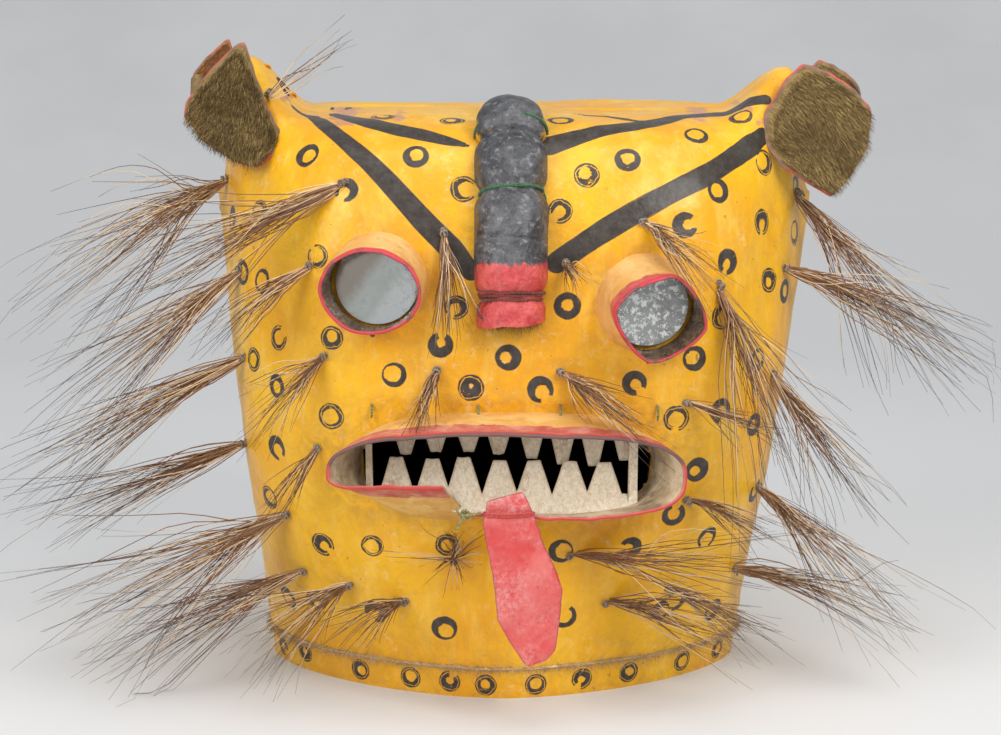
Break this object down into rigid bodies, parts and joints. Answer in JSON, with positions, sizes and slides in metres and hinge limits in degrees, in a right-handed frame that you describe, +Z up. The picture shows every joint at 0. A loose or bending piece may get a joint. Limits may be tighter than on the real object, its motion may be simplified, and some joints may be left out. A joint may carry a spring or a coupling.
{
  "type": "folk art mask",
  "caption": "Helmet mask of a spotted cat in painted, laced rawhide, with mirror eyes, a toothed mouth, a hanging tongue and bristle whiskers.",
  "frame": {"origin": "centre of the rim's outline, in the flat plane that the mask stands on", "axes": "+Z up, the face looks along -Y, +X is on the viewer's right"},
  "size_m": [0.5622, 0.3006, 0.3942],
  "materials": {
    "painted_hide": "painted yellow, semi-gloss, worn",
    "tube_hide": "painted cream-yellow with a red rim",
    "black_hide": "painted black, red at its lower end, rough",
    "red_hide": "painted red, worn and cracked",
    "hair_hide": "short brown hair left on",
    "tooth_hide": "hide with short cream and brown hair",
    "mirror_glass": "clear pocket mirror",
    "tarnished_mirror_glass": "tarnished and flecked pocket mirror",
    "boar_bristle": "stiff brown bristle with pale roots",
    "grey_thread": "waxed grey thread",
    "green_twine": "twisted green twine",
    "brown_cord": "twisted brown cord",
    "raw_fibre": "raw plant and hair fibre"
  },
  "bodies": {
    "mask": {"back_hide": "painted_hide", "crown_lacing": "green_twine", "ear_left": "hair_hide", "ear_right": "hair_hide", "eye_mirror_left": "mirror_glass", "eye_mirror_right": "tarnished_mirror_glass", "eye_threads": "green_twine", "eye_tube_left": "tube_hide", "eye_tube_right": "tube_hide", "face_hide": "painted_hide", "hem_welt": "raw_fibre", "lower_teeth": "tooth_hide", "mouth_ring": "tube_hide", "mouth_stitches": "green_twine", "neck_band": "painted_hide", "nose_cap": "black_hide", "nose_cord_middle": "green_twine", "nose_cord_red": "brown_cord", "nose_cord_top": "green_twine", "nose_roll": "black_hide", "nose_stuffing": "raw_fibre", "side_lacing_left": "green_twine", "side_lacing_right": "green_twine", "tongue_knot": "brown_cord", "upper_teeth": "tooth_hide", "whisker_knots": "grey_thread", "whisker_left_1": "boar_bristle", "whisker_left_10": "boar_bristle", "whisker_left_11": "boar_bristle", "whisker_left_12": "boar_bristle", "whisker_left_13": "boar_bristle", "whisker_left_14": "boar_bristle", "whisker_left_15": "boar_bristle", "whisker_left_16": "boar_bristle", "whisker_left_2": "boar_bristle", "whisker_left_3": "boar_bristle", "whisker_left_4": "boar_bristle", "whisker_left_5": "boar_bristle", "whisker_left_6": "boar_bristle", "whisker_left_7": "boar_bristle", "whisker_left_8": "boar_bristle", "whisker_left_9": "boar_bristle", "whisker_right_1": "boar_bristle", "whisker_right_10": "boar_bristle", "whisker_right_11": "boar_bristle", "whisker_right_12": "boar_bristle", "whisker_right_13": "boar_bristle", "whisker_right_14": "boar_bristle", "whisker_right_2": "boar_bristle", "whisker_right_3": "boar_bristle", "whisker_right_4": "boar_bristle", "whisker_right_5": "boar_bristle", "whisker_right_6": "boar_bristle", "whisker_right_7": "boar_bristle", "whisker_right_8": "boar_bristle", "whisker_right_9": "boar_bristle"},
    "tongue": {"tongue": "red_hide", "tongue_cord": "brown_cord"}
  },
  "joints": [
    {"name": "tongue_swing", "type": "hinge", "parent": "mask", "child": "tongue", "pos_m": [0.009, -0.16497, 0.126], "axis": [-1, 0, 0], "range_deg": [-8, 60]}
  ]
}
